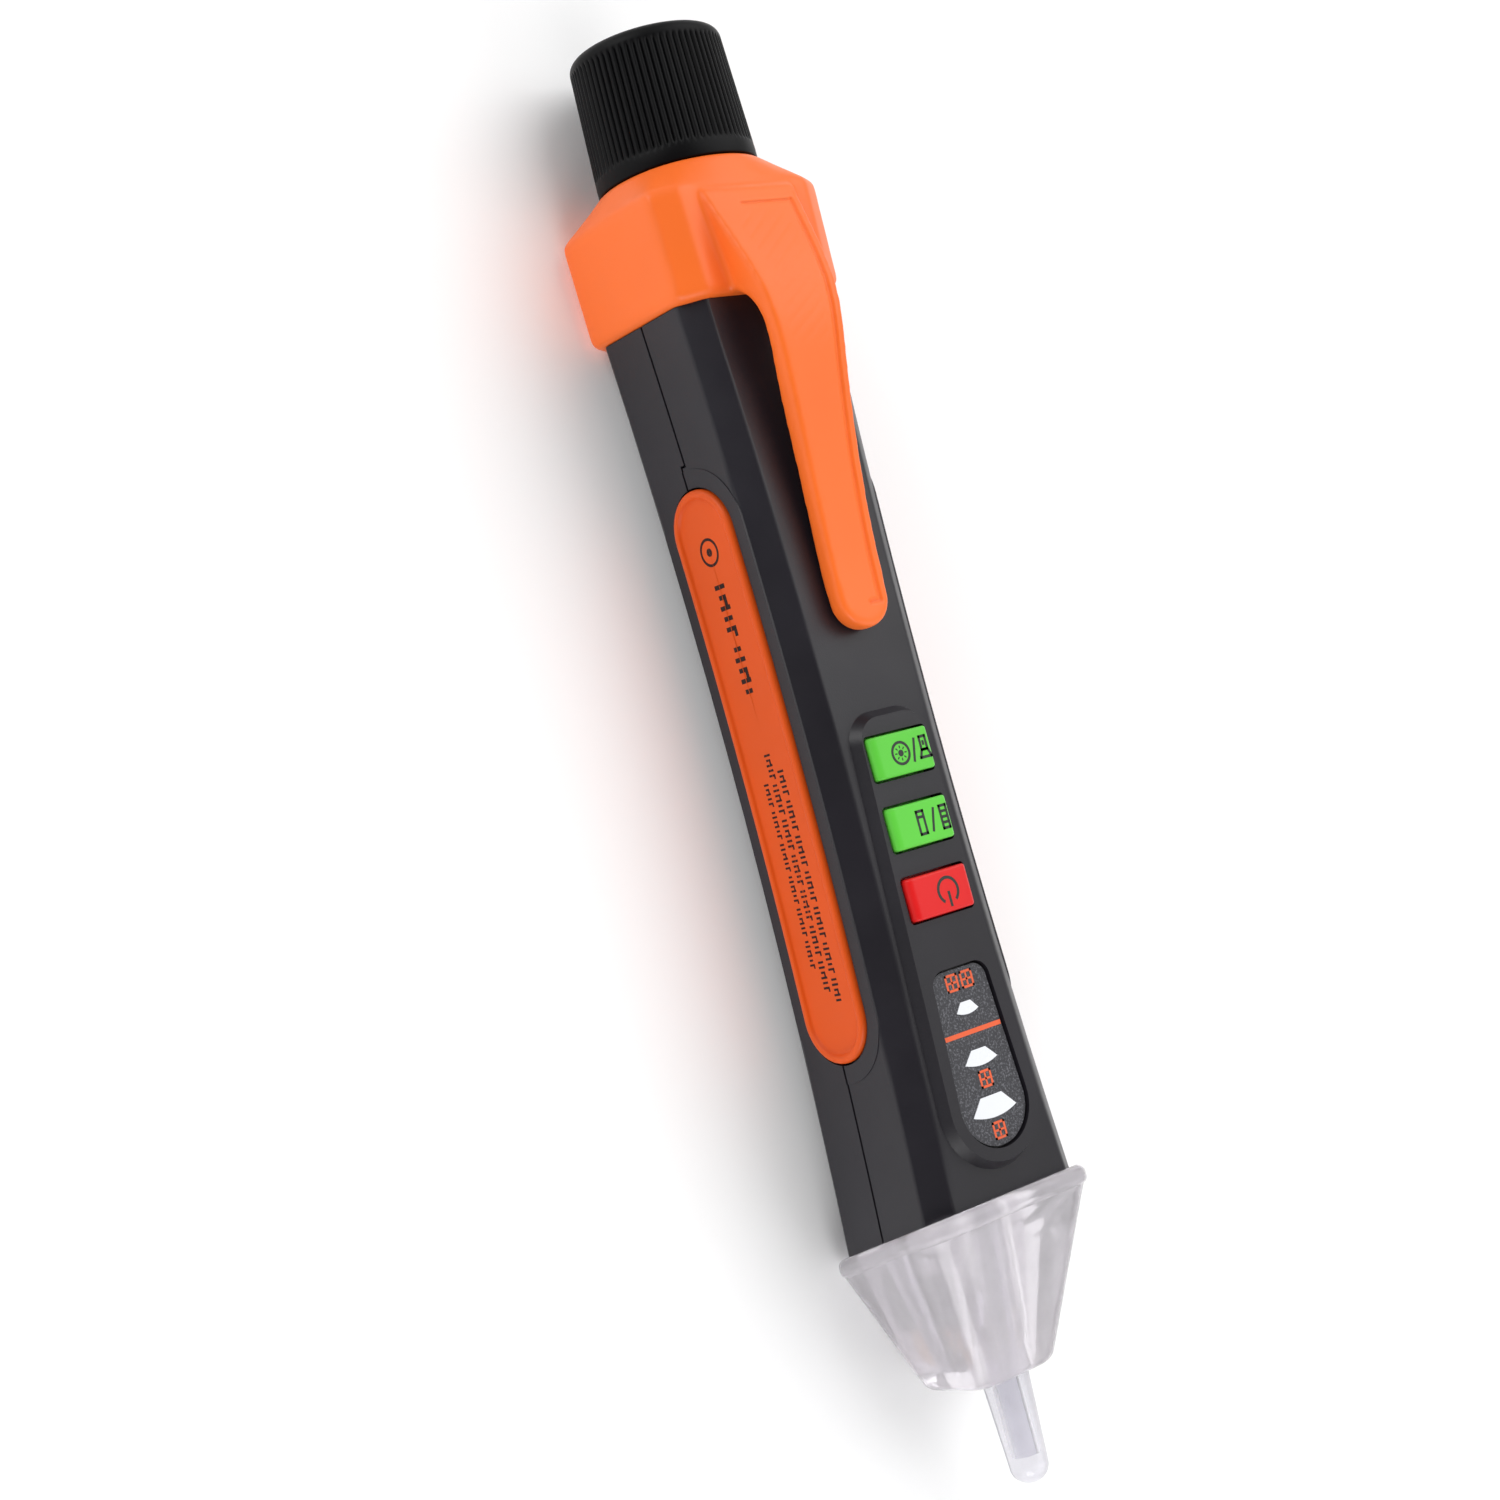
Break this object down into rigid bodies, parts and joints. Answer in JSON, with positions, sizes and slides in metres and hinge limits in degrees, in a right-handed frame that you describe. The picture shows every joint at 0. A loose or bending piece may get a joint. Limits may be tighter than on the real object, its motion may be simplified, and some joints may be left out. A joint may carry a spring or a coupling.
{
  "type": "non contact voltage tester",
  "caption": "Pen-shaped non-contact voltage tester with a screw battery cap, sprung pocket clip, press keys, soft side grips, an indicator panel and a clear probe tip.",
  "frame": {"origin": "on the resting plane, under the middle of the pen's length and width", "axes": "+X along the pen from the battery cap to the probe, +Y across it, +Z out of the face that carries the keys and the clip"},
  "size_m": [0.16, 0.024, 0.0251],
  "materials": {
    "case_plastic": "satin textured",
    "orange_plastic": "satin",
    "grip_rubber": "soft matte",
    "cap_plastic": "matte knurled",
    "key_green": "satin",
    "key_red": "satin",
    "panel_plastic": "fine textured",
    "window_white": "milky",
    "clear_plastic": "clear, lightly frosted",
    "board_green": "solder mask",
    "chip_black": "matte",
    "holder_plastic": "matte",
    "cell_jacket": "printed sleeve",
    "spring_steel": "bright",
    "brass": "bright",
    "seal_rubber": "matte",
    "led_lens": "clear"
  },
  "bodies": {
    "case": {"front_case": "case_plastic", "rear_case": "case_plastic", "side_grip_left": "grip_rubber", "side_grip_right": "grip_rubber", "clip_collar": "orange_plastic", "battery_1": "cell_jacket", "battery_2": "cell_jacket", "battery_holder": "holder_plastic", "contact_strip": "brass", "front_spring": "spring_steel", "main_board": "board_green", "board_screws": "spring_steel", "controller_chip": "chip_black", "buzzer": "chip_black", "key_switches": "spring_steel", "signal_lights": "led_lens", "window_small": "window_white", "window_medium": "window_white", "window_large": "window_white", "indicator_panel": "panel_plastic", "tip_housing": "clear_plastic", "probe_sleeve": "clear_plastic", "antenna_wire": "spring_steel", "torch_led": "led_lens", "laser_module": "brass", "lamp_holder": "holder_plastic"},
    "clip": {"pocket_clip": "orange_plastic"},
    "seal": {"cap_seal": "seal_rubber"},
    "cap": {"battery_cap": "cap_plastic", "cap_spring": "spring_steel"},
    "key_light": {"button_light": "key_green", "plunger_light": "chip_black"},
    "key_sensitivity": {"button_sensitivity": "key_green", "plunger_sensitivity": "chip_black"},
    "key_power": {"button_power": "key_red", "plunger_power": "chip_black"}
  },
  "joints": [
    {"name": "cap_lift", "type": "slide", "parent": "case", "child": "seal", "axis": [-1, 0, 0], "range_m": [0, 0.0045]},
    {"name": "cap_turn", "type": "hinge", "parent": "seal", "child": "cap", "pos_m": [-0.07, 0, 0.0102], "axis": [-1, 0, 0], "range_deg": [0, 1080]},
    {"name": "light_press", "type": "slide", "parent": "case", "child": "key_light", "axis": [0, 0, -1], "range_m": [0, 0.0004], "stiffness_N_per_m": 600, "springref_m": -0.0005},
    {"name": "sensitivity_press", "type": "slide", "parent": "case", "child": "key_sensitivity", "axis": [0, 0, -1], "range_m": [0, 0.0004], "stiffness_N_per_m": 600, "springref_m": -0.0005},
    {"name": "power_press", "type": "slide", "parent": "case", "child": "key_power", "axis": [0, 0, -1], "range_m": [0, 0.0004], "stiffness_N_per_m": 600, "springref_m": -0.0005},
    {"name": "clip_flex", "type": "hinge", "parent": "case", "child": "clip", "pos_m": [-0.0484, 0, 0.0249], "axis": [0, -1, 0], "range_deg": [0, 5], "stiffness_Nm_per_rad": 2, "springref_deg": -1.72}
  ],
  "couplings": [
    {"joint": "cap_turn", "follows": "cap_lift", "rad_per_m": 4188.8}
  ]
}
